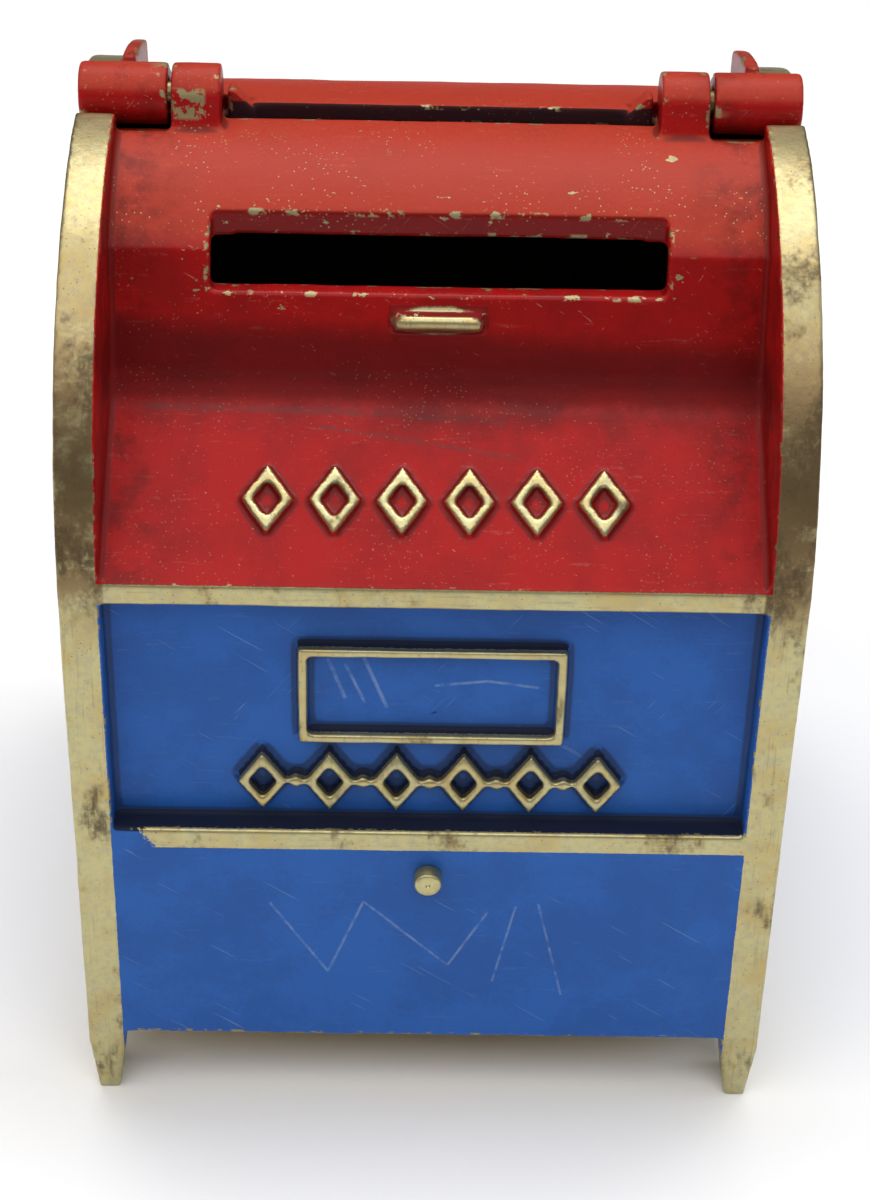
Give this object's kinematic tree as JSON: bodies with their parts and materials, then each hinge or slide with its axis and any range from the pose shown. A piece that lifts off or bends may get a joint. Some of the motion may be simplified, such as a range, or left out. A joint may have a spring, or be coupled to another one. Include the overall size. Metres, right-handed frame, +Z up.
{
  "type": "mailbox-shaped coil stamp dispenser",
  "caption": "Small cast brass dispenser for coil stamps shaped like an arched street mailbox, with a hinged front half, a slot in the hood, a card frame, four feet and a spindle inside.",
  "frame": {"origin": "middle of the body at the surface that the feet stand on", "axes": "+Z up, the front with the slot and door faces -Y, +X to the right seen from the front"},
  "size_m": [0.047, 0.05, 0.0672],
  "materials": {
    "red_enamel": "worn red enamel on cast brass, bare brass on the bands, belt and relief",
    "blue_enamel": "worn blue enamel on cast brass, red on the roof, bare brass on the rims",
    "cast_brass": "bare cast brass, brushed and tarnished",
    "sheet_brass": "rolled sheet brass, satin",
    "turned_brass": "turned brass",
    "spring_bronze": "phosphor bronze strip",
    "plated_steel": "nickel plated steel"
  },
  "bodies": {
    "shell": {"rear_shell": "blue_enamel", "hinge_pin_left": "turned_brass", "hinge_pin_right": "turned_brass", "floor_plate": "sheet_brass", "floor_screws": "plated_steel", "coil_cradle": "sheet_brass", "cradle_rivets": "turned_brass"},
    "cover": {"front_cover": "red_enamel", "catch_stud": "cast_brass", "catch_washer": "turned_brass", "catch_spring": "spring_bronze"},
    "spindle": {"coil_spindle": "plated_steel"}
  },
  "joints": [
    {"name": "cover_hinge", "type": "hinge", "parent": "shell", "child": "cover", "pos_m": [0, 0.0004, 0.0652], "axis": [-1, 0, 0], "range_deg": [0, 160]},
    {"name": "spindle_spin", "type": "hinge", "parent": "shell", "child": "spindle", "pos_m": [0, 0.0071, 0.021], "axis": [1, 0, 0], "continuous": true}
  ]
}
